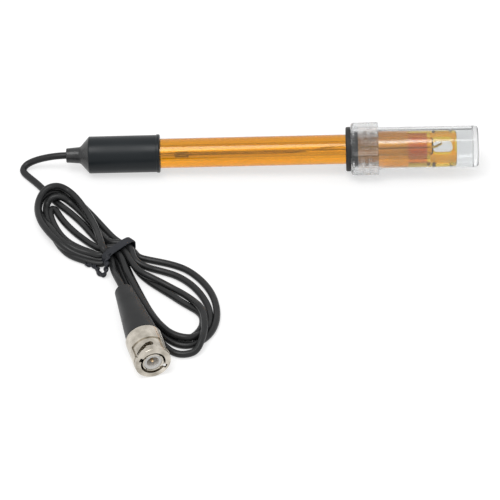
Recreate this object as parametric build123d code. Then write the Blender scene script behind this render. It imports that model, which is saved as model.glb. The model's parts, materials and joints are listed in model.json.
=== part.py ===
from build123d import *
import math
import os

os.makedirs("parts", exist_ok=True)

# All lengths are in millimetres and all angles in degrees.
# The probe's own pieces are worked out along its axis: distance 0 is where the handle meets
# the shaft, and distances grow towards the sensing tip.

# Shaft: an amber moulded tube with its tip guard
shaft_diameter = 12.0
shaft_wall = 1.1
shaft_reach = 120.0
shaft_in_handle = 14.0
guard_length = 12.0
guard_wall = 1.2
guard_nose_radius = 1.1
guard_nose_land = 0.1
window_count = 4
window_length = 8.4
window_width = 3.8
window_to_end = 1.6
window_facing = 41.0
plug_length = 7.6
plug_floor = 1.2
ridge_count = 3
ridge_pitch = 0.9
ridge_depth = 0.25
ridge_groove_width = 0.45

# Electrode inside the shaft
stem_diameter = 5.0
stem_wall = 0.8
stem_tip_radius = 1.5
stem_past_floor = 1.4
stem_top_margin = 4.0
platinum_diameter = 0.8
platinum_reach = 3.4
platinum_rise = 1.5
platinum_straight = 0.6
platinum_seat = 1.8
lead_diameter = 0.5
reference_wire_diameter = 0.6
reference_offset = 3.7
reference_angle = 60.0
reference_turn_in = 3.0
reference_wire_end_gap = 12.0
reference_kink_start = 58.0
reference_kink_length = 14.0
reference_kink_angle = 26.0
reference_sleeve_diameter = 2.1
reference_sleeve_length = 5.6
reference_sleeve_start = 6.2
junction_diameter = 1.0
junction_angle = 180.0
top_plug_length = 9.0
splice_diameter = 1.5
splice_length = 4.0
splice_wall = 0.4
splice_offset = 1.8
splice_behind_shaft = 1.0
wire_end_gap = 0.4

# Handle and strain relief
handle_length = 28.9
handle_front_diameter = 15.6
handle_rear_diameter = 15.0
handle_lip_length = 1.2
handle_lip_recess = 0.25
handle_edge_radius = 0.5
handle_rear_bore = 10.6
relief_flange_diameter = 14.4
relief_spigot_length = 4.0
relief_cone_length = 3.4
relief_sleeve_length = 5.7
relief_sleeve_front_diameter = 6.7
relief_sleeve_rear_diameter = 5.8
relief_edge_radius = 0.35
relief_neck_radius = 1.7
relief_core_bore = 3.0

# Storage bottle with its screw cap and seal
seal_position = 75.2
seal_flange_length = 2.0
seal_flange_diameter = 18.0
seal_bevel = 0.7
seal_lip_length = 1.5
cap_length = 11.2
cap_diameter = 21.3
cap_end_wall = 1.4
cap_hole_diameter = 15.8
cap_bore = 18.9
cap_front_radius = 1.3
cap_rear_radius = 0.4
knurl_count = 72
knurl_depth = 0.25
bottle_neck_diameter = 17.2
bottle_end_diameter = 16.8
bottle_wall = 1.0
bottle_base = 2.1
bottle_tip_room = 6.75
bottle_edge_radius = 1.4
bottle_inner_radius = 0.7
thread_pitch = 3.0
thread_turns = 2.0
thread_height = 0.65
thread_sink = 0.15
thread_root_width = 1.2
thread_crest_width = 0.7
thread_start = 1.2

# Cable and its bundle
cable_diameter = 2.8
cable_in_relief = 7.5
core_diameter = 1.5
core_strand_diameter = 0.75
screen_diameter = 0.8
strand_gap = 0.2
exit_straight = 5.0
exit_lead = 2.7
tail_straight = 9.7
tail_lead = 4.2
hank_height = 5.4
hank_corner_radius = 14.0
opening_corner_radius = 2.5
tie_thickness = 0.6
tie_width = 3.4
tie_inner_width = 14.6
tie_inner_height = 5.4
tie_corner_radius = 1.4
waist_cut = 30.0
tie_tail_diameter = 1.7

# Bayonet plug, worked out along its own axis: distance 0 is its mating face,
# and distances are negative behind it
plug_mating_face = (-45.95, -124.1)
plug_heading = -73.5
nut_diameter = 14.4
nut_length = 14.5
nut_front_ring = 1.9
nut_ring_step = 0.15
nut_bore = 9.8
nut_bore_depth = 8.6
nut_chamber_diameter = 12.2
nut_lip = 1.5
nut_edge_radius = 0.7
nut_front_radius = 0.35
recess_depth = 0.45
recess_back = 7.4
recess_start_angle = -42.0
recess_end_angle = 64.0
slot_width = 1.8
slot_entry = 1.5
slot_entry_angle = 62.0
slot_level_angle = 16.0
hole_distance = 3.75
hole_diameter = 2.2
hole_rim_diameter = 4.9
hole_rim_height = 0.3
keyway_depth = 1.1
keyway_half_angle = 9.0
contact_sleeve_diameter = 8.2
contact_sleeve_bore = 7.2
contact_sleeve_recess = 0.3
gasket_seat_diameter = 8.6
gasket_seat_length = 1.1
contact_slot_count = 4
contact_slot_width = 0.45
contact_slot_length = 6.0
body_flange_diameter = 12.0
body_flange_front = 9.6
body_flange_length = 1.4
body_barrel_diameter = 9.6
body_barrel_end = 17.5
crimp_stem_diameter = 4.4
crimp_stem_bore = 1.9
crimp_stem_length = 9.0
ferrule_wall = 0.5
washer_height = 1.0
washer_strip = 0.3
washer_waves = 3
ring_thickness = 0.4
ring_outer_diameter = 10.8
ring_groove_depth = 0.3
ring_gap_angle = 30.0
gasket_thickness = 0.9
gasket_outer_diameter = 9.4
insulator_recess = 0.6
insulator_cup_bore = 4.9
insulator_cup_depth = 5.0
insulator_length = 11.4
pin_diameter = 1.36
pin_recess = 1.1
pin_nose = 0.5
pin_tail_diameter = 1.9
pin_tail_length = 3.0
pin_tail_gap = 0.4
boot_front_diameter = 13.2
boot_rear_diameter = 7.2
boot_end = 43.6
boot_front_gap = 0.3
boot_rear_radius = 1.0
boot_front_radius = 0.4
boot_ring_pocket = 1.0
boot_ring_gap = 0.2
cable_end_gap = 1.0

# Clearances
glue_gap = 0.03
running_gap = 0.05
face_gap = 0.05
gel_gap = 0.04

# Cutters run this far past the faces they cut
cut_over = 1.0

# Two runs nearly in line meet with this much offset, so that an arc can join them
least_bend = 0.03

# Share of a run that the arc at each of its ends may take
arc_share = 0.45


def turned(profile, rounds=()):
    """Solid turned about the X axis from (distance, radius) corners; rounds holds (corner, radius)."""
    face = make_face(Polyline(*profile, close=True))
    for corner, radius in rounds:
        vertex = face.vertices().sort_by_distance(corner)[0]
        face = fillet(vertex, radius)
    return revolve(face, Axis.X)


def rod(start, end, diameter, offset=0.0, angle=0.0):
    """Plain round bar along X, its centre moved out by offset at an angle from +Z towards -Y."""
    bar = turned([(start, 0), (start, diameter / 2), (end, diameter / 2), (end, 0)])
    return Rot(X=angle) * Pos(0, 0, offset) * bar


def arc_radius(before, after):
    """Largest radius that joins two runs and takes no more than its share of the shorter one."""
    half_turn = math.radians(before.get_angle(after)) / 2
    return arc_share * min(before.length, after.length) / math.tan(half_turn)


def tube_along(points, diameter):
    """Round tube along straight runs joined by arcs as large as the runs beside each corner allow."""
    corners = [Vector(point) for point in points]
    runs = [b - a for a, b in zip(corners, corners[1:])]
    radii = [arc_radius(before, after) for before, after in zip(runs, runs[1:])]
    path = FilletPolyline(*corners, radius=radii)
    section = Plane(origin=path @ 0, z_dir=path % 0) * Circle(diameter / 2)
    return sweep(section, path=path), path, radii


def sector(inner, outer, start, end, first_angle, last_angle):
    """Part of a tube about X between two distances and two angles from +Z, turning towards -Y."""
    outline = [(start, inner), (start, outer), (end, outer), (end, inner)]
    face = make_face(Polyline(*outline, close=True))
    upright = Rot(X=90) * face
    return Rot(X=first_angle) * revolve(upright, Axis.X, last_angle - first_angle)


# Distances that follow from the sizes above
shaft_radius = shaft_diameter / 2
shaft_inner = shaft_radius - shaft_wall
guard_start = shaft_reach - guard_length
plug_start = guard_start - plug_length
floor_face = guard_start + plug_floor
stem_radius = stem_diameter / 2
stem_tip = floor_face + stem_past_floor
stem_top = -shaft_in_handle + stem_top_margin
stem_inner_end = stem_tip - stem_wall
platinum_root = stem_tip - platinum_seat
cap_start = seal_position + seal_flange_length
cap_end = cap_start + cap_length
cap_inner_face = cap_start + cap_end_wall
bottle_start = cap_inner_face + seal_lip_length + face_gap
bottle_end = shaft_reach + bottle_tip_room + bottle_base
relief_cone_end = -handle_length - relief_cone_length
relief_end = relief_cone_end - relief_sleeve_length
relief_spigot_end = -handle_length + relief_spigot_length
cable_start = relief_end + cable_in_relief
nut_radius = nut_diameter / 2
nut_ring_start = -nut_front_ring
nut_chamber_end = -nut_length + nut_lip
body_flange_back = -(body_flange_front + body_flange_length)
crimp_stem_end = -(body_barrel_end + crimp_stem_length)
cable_stop = crimp_stem_end - cable_end_gap
boot_start = -nut_length - boot_front_gap

# Shaft tube
body_tube = turned([
    (-shaft_in_handle, shaft_inner),
    (-shaft_in_handle, shaft_radius),
    (guard_start, shaft_radius),
    (guard_start, shaft_inner),
])

# Tip guard: the plug with its ridges, the floor that holds the stem, and the cage round the tip
plug_radius = shaft_inner - glue_gap
stem_hole = stem_radius + glue_gap
guard_inner = shaft_radius - guard_wall
tip_guard = turned([
    (plug_start, stem_hole),
    (plug_start, plug_radius),
    (guard_start, plug_radius),
    (guard_start, shaft_radius),
    (shaft_reach, shaft_radius),
    (shaft_reach, guard_inner),
    (floor_face, guard_inner),
    (floor_face, stem_hole),
], rounds=[((shaft_reach, shaft_radius), min(guard_nose_radius, guard_wall - guard_nose_land))])
for number in range(ridge_count):
    groove_at = guard_start - (number + 1) * ridge_pitch
    groove = turned([
        (groove_at - ridge_groove_width / 2, plug_radius - ridge_depth),
        (groove_at - ridge_groove_width / 2, shaft_radius),
        (groove_at + ridge_groove_width / 2, shaft_radius),
        (groove_at + ridge_groove_width / 2, plug_radius - ridge_depth),
    ])
    tip_guard -= groove
window_middle = shaft_reach - window_to_end - window_length / 2
window = extrude(SlotOverall(window_length, window_width), amount=shaft_radius + cut_over)
for number in range(window_count):
    turn = 90 - window_facing + number * 360 / window_count
    tip_guard -= Rot(X=turn) * Pos(window_middle, 0, 0) * window
tip_guard -= rod(plug_start - cut_over, floor_face + cut_over, junction_diameter + 2 * glue_gap,
                 reference_offset, junction_angle)

# Inner electrode
glass_stem = turned([
    (stem_top, stem_radius - stem_wall),
    (stem_top, stem_radius),
    (stem_tip, stem_radius),
    (stem_tip, 0),
    (stem_inner_end, 0),
    (stem_inner_end, stem_radius - stem_wall),
], rounds=[((stem_tip, stem_radius), stem_tip_radius)])
platinum_path = [
    (platinum_root, 0, 0),
    (stem_tip + platinum_straight, 0, 0),
    (stem_tip + platinum_reach, 0, platinum_rise),
]
platinum_wire = tube_along(platinum_path, platinum_diameter)[0]
glass_stem -= platinum_wire
splice_start = -shaft_in_handle - splice_behind_shaft
splice_end = splice_start - splice_length
wire_in_splice = (splice_length - wire_end_gap) / 2
sensor_lead_path = [
    (platinum_root - face_gap, 0, 0),
    (-shaft_in_handle + top_plug_length, 0, least_bend),
    (splice_start, 0, splice_offset),
    (splice_start - wire_in_splice, 0, splice_offset + least_bend),
]
sensor_lead = tube_along(sensor_lead_path, lead_diameter)[0]


def beside_stem(distance, angle, extra=0.0):
    """Point of the reference wire's line, turned by angle from +Z towards -Y about the axis."""
    swing = math.radians(angle)
    reach = reference_offset + extra
    return (distance, -reach * math.sin(swing), reach * math.cos(swing))


reference_path = [
    (splice_start - wire_in_splice, 0, -splice_offset - least_bend),
    (splice_start, 0, -splice_offset),
    beside_stem(-shaft_in_handle + reference_turn_in, reference_angle),
    beside_stem(reference_kink_start, reference_angle, least_bend),
    beside_stem(reference_kink_start + reference_kink_length, reference_kink_angle),
    beside_stem(plug_start - reference_wire_end_gap, reference_kink_angle, least_bend),
]
reference_wire = tube_along(reference_path, reference_wire_diameter)[0]
reference_sleeve_end = reference_sleeve_start + reference_sleeve_length
wire_room = 2 * running_gap
reference_sleeve = rod(reference_sleeve_start, reference_sleeve_end, reference_sleeve_diameter,
                       reference_offset, reference_angle)
reference_sleeve -= rod(reference_sleeve_start - cut_over, reference_sleeve_end + cut_over,
                        reference_wire_diameter + wire_room, reference_offset, reference_angle)
reference_junction = rod(plug_start, floor_face, junction_diameter, reference_offset, junction_angle)

top_plug = turned([
    (-shaft_in_handle, 0),
    (-shaft_in_handle, shaft_inner - glue_gap),
    (-shaft_in_handle + top_plug_length, shaft_inner - glue_gap),
    (-shaft_in_handle + top_plug_length, 0),
])
top_plug -= rod(stem_top - glue_gap, shaft_reach, stem_diameter + 2 * glue_gap)
top_plug -= tube_along(sensor_lead_path, lead_diameter + wire_room)[0]
top_plug -= tube_along(reference_path, reference_wire_diameter + wire_room)[0]

gel_start = -shaft_in_handle + top_plug_length + gel_gap
gel_end = plug_start - gel_gap
electrolyte_gel = turned([
    (gel_start, stem_radius + gel_gap),
    (gel_start, shaft_inner - gel_gap),
    (gel_end, shaft_inner - gel_gap),
    (gel_end, stem_radius + gel_gap),
])
electrolyte_gel -= tube_along(reference_path, reference_wire_diameter + 2 * gel_gap)[0]
electrolyte_gel -= rod(reference_sleeve_start - gel_gap, reference_sleeve_end + gel_gap,
                       reference_sleeve_diameter + 2 * gel_gap, reference_offset, reference_angle)

# Handle: a cap glued over the end of the shaft
handle_front = handle_front_diameter / 2
handle_rear = handle_rear_diameter / 2
handle_bore = shaft_radius + glue_gap
relief_bore = handle_rear_bore / 2
handle_cap = turned([
    (-handle_length, relief_bore),
    (-handle_length, handle_rear),
    (-handle_lip_length - handle_lip_recess, handle_front - handle_lip_recess),
    (-handle_lip_length, handle_front),
    (0, handle_front),
    (0, handle_bore),
    (-shaft_in_handle, handle_bore),
    (-shaft_in_handle, relief_bore),
], rounds=[((-handle_length, handle_rear), handle_edge_radius), ((0, handle_front), handle_edge_radius)])

strain_relief = turned([
    (relief_end, cable_diameter / 2 + running_gap),
    (relief_end, relief_sleeve_rear_diameter / 2),
    (relief_cone_end, relief_sleeve_front_diameter / 2),
    (-handle_length, relief_flange_diameter / 2),
    (-handle_length, relief_bore - glue_gap),
    (relief_spigot_end, relief_bore - glue_gap),
    (relief_spigot_end, relief_core_bore / 2),
    (cable_start, relief_core_bore / 2),
    (cable_start, cable_diameter / 2 + running_gap),
], rounds=[
    ((relief_end, relief_sleeve_rear_diameter / 2), relief_edge_radius),
    ((relief_cone_end, relief_sleeve_front_diameter / 2), relief_neck_radius),
])

# Ends of the cable inside the handle: the core goes to the platinum's lead, the screen to the silver wire
core_aside = core_strand_diameter / 2
screen_aside = (screen_diameter + strand_gap) / 2
core_tail = tube_along([
    (cable_start, 0, core_aside),
    (relief_spigot_end, 0, core_aside + least_bend),
    (splice_end, 0, splice_offset),
    (splice_end + wire_in_splice, 0, splice_offset + least_bend),
], core_strand_diameter)[0]
screen_tail = tube_along([
    (cable_start, 0, -screen_aside),
    (relief_spigot_end, 0, -screen_aside - least_bend),
    (splice_end, 0, -splice_offset),
    (splice_end + wire_in_splice, 0, -splice_offset - least_bend),
], screen_diameter)[0]


def splice(offset):
    """Small crimp sleeve round the meeting ends of two wires."""
    shell = turned([
        (splice_end, splice_diameter / 2 - splice_wall / 2),
        (splice_end, splice_diameter / 2 + splice_wall / 2),
        (splice_start, splice_diameter / 2 + splice_wall / 2),
        (splice_start, splice_diameter / 2 - splice_wall / 2),
    ])
    return Pos(0, 0, offset) * shell


core_splice = splice(splice_offset)
screen_splice = splice(-splice_offset)

# Seal: a rubber bush gripped in the hole of the cap
seal_bore = shaft_radius + running_gap
seal_ring = turned([
    (seal_position, seal_bore),
    (seal_position, seal_flange_diameter / 2),
    (cap_start - face_gap, seal_flange_diameter / 2),
    (cap_start - face_gap, cap_hole_diameter / 2 - running_gap),
    (cap_inner_face + face_gap, cap_hole_diameter / 2 - running_gap),
    (cap_inner_face + face_gap, cap_bore / 2 - running_gap),
    (cap_inner_face + seal_lip_length, cap_bore / 2 - running_gap),
    (cap_inner_face + seal_lip_length, seal_bore),
], rounds=[((seal_position, seal_flange_diameter / 2), seal_bevel)])


def thread(radius, height, start, turns, phase):
    """Screw ridge about X that stands out from radius by height, which is negative for an inward ridge."""
    helix = Helix(thread_pitch, thread_pitch * turns, radius)
    root = -math.copysign(thread_sink, height)
    section = make_face(Polyline(
        (root, -thread_root_width / 2),
        (height, -thread_crest_width / 2),
        (height, thread_crest_width / 2),
        (root, thread_root_width / 2),
        close=True,
    ))
    seat = Plane(origin=helix @ 0, x_dir=(1, 0, 0), z_dir=helix % 0)
    ridge = sweep(seat * section, path=helix, is_frenet=True)
    return Pos(start, 0, 0) * Rot(X=phase) * Rot(Y=90) * ridge


# Bottle: one moulding, threaded at its neck
neck_radius = bottle_neck_diameter / 2
base_radius = bottle_end_diameter / 2
storage_bottle = turned([
    (bottle_start, neck_radius - bottle_wall),
    (bottle_start, neck_radius),
    (cap_end, neck_radius),
    (bottle_end, base_radius),
    (bottle_end, 0),
    (bottle_end - bottle_base, 0),
    (bottle_end - bottle_base, base_radius - bottle_wall),
    (cap_end, neck_radius - bottle_wall),
], rounds=[
    ((bottle_end, base_radius), bottle_edge_radius),
    ((bottle_end - bottle_base, base_radius - bottle_wall), bottle_inner_radius),
])
thread_first = bottle_start + thread_start
storage_bottle += thread(neck_radius, thread_height, thread_first, thread_turns, 0)

# Cap: knurled outside, threaded inside
cap_radius = cap_diameter / 2
knurl_points = []
for number in range(2 * knurl_count):
    spoke = math.pi * number / knurl_count
    reach = cap_radius if number % 2 == 0 else cap_radius - knurl_depth
    knurl_points.append((reach * math.cos(spoke), reach * math.sin(spoke)))
knurled_bar = Plane(origin=(cap_start, 0, 0), x_dir=(0, 1, 0), z_dir=(1, 0, 0)) * make_face(
    Polyline(*knurl_points, close=True))
knurled_bar = extrude(knurled_bar, amount=cap_length)
cap_blank = turned([
    (cap_start, cap_hole_diameter / 2),
    (cap_start, cap_radius),
    (cap_end, cap_radius),
    (cap_end, cap_bore / 2),
    (cap_inner_face, cap_bore / 2),
    (cap_inner_face, cap_hole_diameter / 2),
], rounds=[((cap_start, cap_radius), cap_front_radius), ((cap_end, cap_radius), cap_rear_radius)])
screw_cap = cap_blank & knurled_bar
screw_cap += thread(cap_bore / 2, -thread_height, thread_first, thread_turns, 180)

# Placing the probe as it lies: on the rear rim of its handle and on the front rim of its cap
rear_rim = (-handle_length + handle_edge_radius, handle_rear - handle_edge_radius)
cap_rim = (cap_start + cap_front_radius, cap_radius - cap_front_radius)
rim_run = cap_rim[0] - rear_rim[0]
rim_rise = cap_rim[1] - rear_rim[1]
rim_extra = cap_front_radius - handle_edge_radius
rest_tilt = math.asin(rim_extra / math.hypot(rim_run, rim_rise)) + math.atan2(rim_rise, rim_run)
axis_height = (rear_rim[1] * math.cos(rest_tilt) + handle_edge_radius
               - rear_rim[0] * math.sin(rest_tilt))
lie_down = Rot(Y=-math.degrees(rest_tilt))
probe_ends = Compound([lie_down * strain_relief, lie_down * storage_bottle]).bounding_box()
middle = probe_ends.center().X
probe_place = Pos(-middle, 0, axis_height) * lie_down

# Plug pieces
plug_place = Pos(plug_mating_face[0], plug_mating_face[1], nut_radius) * Rot(Z=plug_heading)

nut_bore_radius = nut_bore / 2
chamber_radius = nut_chamber_diameter / 2
lip_radius = body_barrel_diameter / 2 + running_gap
coupling_nut = turned([
    (0, nut_bore_radius),
    (0, nut_radius - nut_ring_step),
    (nut_ring_start, nut_radius - nut_ring_step),
    (nut_ring_start, nut_radius),
    (-nut_length, nut_radius),
    (-nut_length, lip_radius),
    (nut_chamber_end, lip_radius),
    (nut_chamber_end, chamber_radius),
    (-nut_bore_depth, chamber_radius),
    (-nut_bore_depth, nut_bore_radius),
], rounds=[
    ((-nut_length, nut_radius), nut_edge_radius),
    ((0, nut_radius - nut_ring_step), nut_front_radius),
])
recess_floor = nut_radius - recess_depth
slot_pitch = 360 * (hole_distance - slot_entry) / (slot_entry_angle - slot_level_angle)
slot_sweep = (slot_entry_angle - slot_level_angle) / 360
for half_turn in (0, 180):
    recess = sector(recess_floor, nut_radius + cut_over, -recess_back, nut_ring_start,
                    recess_start_angle, recess_end_angle)
    hole_rim = Pos(-hole_distance, 0, 0) * Cylinder(hole_rim_diameter / 2, 2 * nut_diameter)
    rim_band = turned([
        (-recess_back, recess_floor - cut_over),
        (-recess_back, recess_floor + hole_rim_height),
        (nut_ring_start, recess_floor + hole_rim_height),
        (nut_ring_start, recess_floor - cut_over),
    ])
    recess -= (hole_rim & rim_band)
    hole = Pos(-hole_distance, 0, nut_radius) * Cylinder(hole_diameter / 2, nut_radius)
    level = sector(nut_bore_radius - cut_over, nut_radius + cut_over, -hole_distance - slot_width / 2,
                   -hole_distance + slot_width / 2, 0, slot_level_angle)
    mean_radius = (nut_bore_radius + nut_radius) / 2
    ramp_line = Helix(slot_pitch, slot_pitch * slot_sweep, mean_radius)
    ramp_section = Plane(origin=ramp_line @ 0, x_dir=(1, 0, 0), z_dir=ramp_line % 0) * Rectangle(
        nut_radius - nut_bore_radius + 2 * cut_over, slot_width)
    ramp = sweep(ramp_section, path=ramp_line, is_frenet=True)
    ramp = Rot(X=slot_level_angle) * Pos(-hole_distance, 0, 0) * Rot(X=180) * Rot(Y=90) * ramp
    keyway = sector(nut_bore_radius - cut_over, nut_bore_radius + keyway_depth,
                    -slot_entry - slot_width / 2, cut_over,
                    slot_entry_angle - keyway_half_angle, slot_entry_angle + keyway_half_angle)
    for cutter in (recess, hole, level, ramp, keyway):
        coupling_nut -= Rot(X=half_turn) * cutter

barrel_radius = body_barrel_diameter / 2
sleeve_radius = contact_sleeve_diameter / 2
sleeve_bore_radius = contact_sleeve_bore / 2
insulator_back = -(insulator_recess + insulator_length)
ring_front = -nut_length - face_gap
ring_back = ring_front - ring_thickness
pin_tail_end = insulator_back - pin_tail_length
connector_body = turned([
    (-contact_sleeve_recess, sleeve_bore_radius),
    (-contact_sleeve_recess, sleeve_radius),
    (-body_flange_front + gasket_seat_length, sleeve_radius),
    (-body_flange_front + gasket_seat_length, gasket_seat_diameter / 2),
    (-body_flange_front, gasket_seat_diameter / 2),
    (-body_flange_front, body_flange_diameter / 2),
    (body_flange_back, body_flange_diameter / 2),
    (body_flange_back, barrel_radius),
    (ring_front + face_gap / 2, barrel_radius),
    (ring_front + face_gap / 2, barrel_radius - ring_groove_depth),
    (ring_back - face_gap / 2, barrel_radius - ring_groove_depth),
    (ring_back - face_gap / 2, barrel_radius),
    (-body_barrel_end, barrel_radius),
    (-body_barrel_end, crimp_stem_diameter / 2),
    (crimp_stem_end, crimp_stem_diameter / 2),
    (crimp_stem_end, crimp_stem_bore / 2),
    (pin_tail_end, crimp_stem_bore / 2),
    (pin_tail_end, pin_tail_diameter / 2 + pin_tail_gap),
    (insulator_back, pin_tail_diameter / 2 + pin_tail_gap),
    (insulator_back, sleeve_bore_radius),
])
contact_slot = Pos(-contact_sleeve_recess - contact_slot_length / 2, 0, sleeve_radius) * Box(
    contact_slot_length, contact_slot_width, contact_sleeve_diameter - contact_sleeve_bore + cut_over)
for number in range(contact_slot_count):
    connector_body -= Rot(X=(number + 0.5) * 360 / contact_slot_count) * contact_slot

gasket = turned([
    (-body_flange_front + face_gap, gasket_seat_diameter / 2 + running_gap),
    (-body_flange_front + face_gap, gasket_outer_diameter / 2),
    (-body_flange_front + gasket_thickness, gasket_outer_diameter / 2),
    (-body_flange_front + gasket_thickness, gasket_seat_diameter / 2 + running_gap),
])

# Wave washer: a thin ring bent into even waves, made of ramps between crest and hollow lines
washer_inner = barrel_radius + running_gap
washer_outer = chamber_radius - running_gap
washer_middle = nut_chamber_end + face_gap + washer_height / 2
wave_reach = (washer_height - washer_strip) / 2
wave_steps = 8 * washer_waves


def wave_piece(step):
    """One sector of the washer, its two ends at the heights of the wave there."""
    ends = []
    for at in (step, step + 1):
        swing = wave_reach * math.cos(2 * math.pi * washer_waves * at / wave_steps)
        angle = 360 * at / wave_steps
        strip = make_face(Polyline(
            (washer_middle + swing - washer_strip / 2, washer_inner),
            (washer_middle + swing - washer_strip / 2, washer_outer),
            (washer_middle + swing + washer_strip / 2, washer_outer),
            (washer_middle + swing + washer_strip / 2, washer_inner),
            close=True,
        ))
        ends.append(Rot(X=angle) * strip)
    return loft(ends)


spring_washer = wave_piece(0)
for number in range(1, wave_steps):
    spring_washer += wave_piece(number)

retaining_ring = turned([
    (ring_front, barrel_radius - ring_groove_depth + running_gap),
    (ring_front, ring_outer_diameter / 2),
    (ring_back, ring_outer_diameter / 2),
    (ring_back, barrel_radius - ring_groove_depth + running_gap),
])
retaining_ring -= sector(barrel_radius - cut_over, ring_outer_diameter, ring_back - cut_over,
                         ring_front + cut_over,
                         -ring_gap_angle / 2, ring_gap_angle / 2)

insulator_front = -insulator_recess
cup_floor = insulator_front - insulator_cup_depth
pin_radius = pin_diameter / 2
insulator = turned([
    (insulator_front, insulator_cup_bore / 2),
    (insulator_front, sleeve_bore_radius - glue_gap),
    (insulator_back + face_gap, sleeve_bore_radius - glue_gap),
    (insulator_back + face_gap, pin_radius + glue_gap),
    (cup_floor, pin_radius + glue_gap),
    (cup_floor, insulator_cup_bore / 2),
])

centre_pin = turned([
    (-pin_recess, 0),
    (-pin_recess, pin_radius - pin_nose / 2),
    (-pin_recess - pin_nose, pin_radius),
    (insulator_back, pin_radius),
    (insulator_back, pin_tail_diameter / 2),
    (pin_tail_end + face_gap, pin_tail_diameter / 2),
    (pin_tail_end + face_gap, 0),
])

plug_core = rod(cable_stop, pin_tail_end, core_diameter)

ferrule_bore = crimp_stem_diameter / 2 + glue_gap
ferrule_radius = ferrule_bore + ferrule_wall
crimp_ferrule = turned([
    (-body_barrel_end - face_gap, ferrule_bore),
    (-body_barrel_end - face_gap, ferrule_radius),
    (crimp_stem_end, ferrule_radius),
    (crimp_stem_end, ferrule_bore),
])

boot_front = boot_front_diameter / 2
boot_rear = boot_rear_diameter / 2
cable_bore = cable_diameter / 2 + running_gap
connector_boot = turned([
    (boot_start, ring_outer_diameter / 2 + boot_ring_gap),
    (boot_start, boot_front),
    (-boot_end, boot_rear),
    (-boot_end, cable_bore),
    (cable_stop, cable_bore),
    (cable_stop, ferrule_radius + glue_gap),
    (-body_barrel_end - face_gap, ferrule_radius + glue_gap),
    (-body_barrel_end - face_gap, barrel_radius + glue_gap),
    (boot_start - boot_ring_pocket, barrel_radius + glue_gap),
    (boot_start - boot_ring_pocket, ring_outer_diameter / 2 + boot_ring_gap),
], rounds=[((boot_start, boot_front), boot_front_radius), ((-boot_end, boot_rear), boot_rear_radius)])


def on_axis(place, distance, aside=0.0):
    """Point on a placed piece's axis, or a little to its side."""
    return (place * Pos(distance, aside, 0)).position


# Cable: the stretch from the strain relief leaves it straight, drops to the surface, folds back
# tightly and runs on to the bundle
exit_points = [
    on_axis(probe_place, cable_start),
    on_axis(probe_place, cable_start - exit_straight, least_bend),
    on_axis(probe_place, relief_end - exit_lead),
    (-90.6, 0.3, 6.15),
    (-95.2, 0.55, 4.65),
    (-99.1, 0.6, 2.6),
    (-100.92, -1.12, 1.7),
    (-101.07, -3.61, 1.42),
    (-98.1, -7.3, 1.42),
    (-95.0, -10.9, 1.44),
    (-92.2, -14.8, 1.42),
]
cable_exit, exit_path, exit_radii = tube_along(exit_points, cable_diameter)

# The stretch from the tied waist of the bundle rises into the boot of the plug
tail_points = [
    (-63.4, -61.2, 3.6),
    (-62.8, -66.2, 4.0),
    (-61.3, -73.3, 6.5),
    on_axis(plug_place, -boot_end - tail_lead),
    on_axis(plug_place, cable_stop - tail_straight, least_bend),
    on_axis(plug_place, cable_stop),
]
cable_tail, tail_path, tail_radii = tube_along(tail_points, cable_diameter)

# Bundle of the cable's turns: the outer form of both lobes, open where the turns leave room
hank_outline = [
    (-92.6, -13.6), (-83.6, -11.6), (-69.0, -33.0), (-60.0, -46.6), (-54.8, -51.4), (-48.0, -56.0),
    (-38.0, -59.4), (-26.0, -66.6), (-20.4, -78.0), (-20.6, -94.0), (-28.4, -109.6), (-37.0, -114.6),
    (-42.4, -108.0), (-54.6, -78.5), (-60.8, -69.6), (-63.4, -65.0), (-65.8, -60.0), (-74.6, -57.0),
    (-84.0, -51.6), (-92.8, -37.2), (-95.8, -24.6),
]
right_opening = [
    (-54.5, -66.2), (-40.3, -80.8), (-28.9, -89.6), (-28.6, -100.6), (-34.0, -102.9), (-42.0, -96.5),
]
left_opening = [
    (-84.8, -37.9), (-72.6, -51.6), (-80.5, -48.8),
]


def closed_outline(points, largest):
    """Flat face inside a closed outline, each corner as round as its runs allow, up to the largest radius."""
    corners = [Vector(point) for point in points]
    runs = [b - a for a, b in zip(corners, corners[1:] + corners[:1])]
    radii = [min(largest, arc_radius(before, after)) for before, after in zip(runs[-1:] + runs, runs)]
    return make_face(FilletPolyline(*corners, radius=radii, close=True))


cable_hank = extrude(closed_outline(hank_outline, hank_corner_radius), amount=hank_height)
cable_hank -= extrude(closed_outline(right_opening, opening_corner_radius), amount=hank_height)
cable_hank -= extrude(closed_outline(left_opening, opening_corner_radius), amount=hank_height)

# Tie: a flat ribbon round the waist of the bundle, with its twisted end lying beside it
tie_centre = (-60.9, -55.5)
tie_across = 46.0
tie_plane = Plane(
    origin=(tie_centre[0], tie_centre[1], tie_thickness + tie_inner_height / 2),
    x_dir=(math.cos(math.radians(tie_across)), math.sin(math.radians(tie_across)), 0),
    z_dir=(math.sin(math.radians(tie_across)), -math.cos(math.radians(tie_across)), 0),
)


def tie_block(width, height, radius, length):
    """Rounded bar through the loop of the tie."""
    return extrude(tie_plane * RectangleRounded(width, height, radius), amount=length / 2, both=True)


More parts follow.
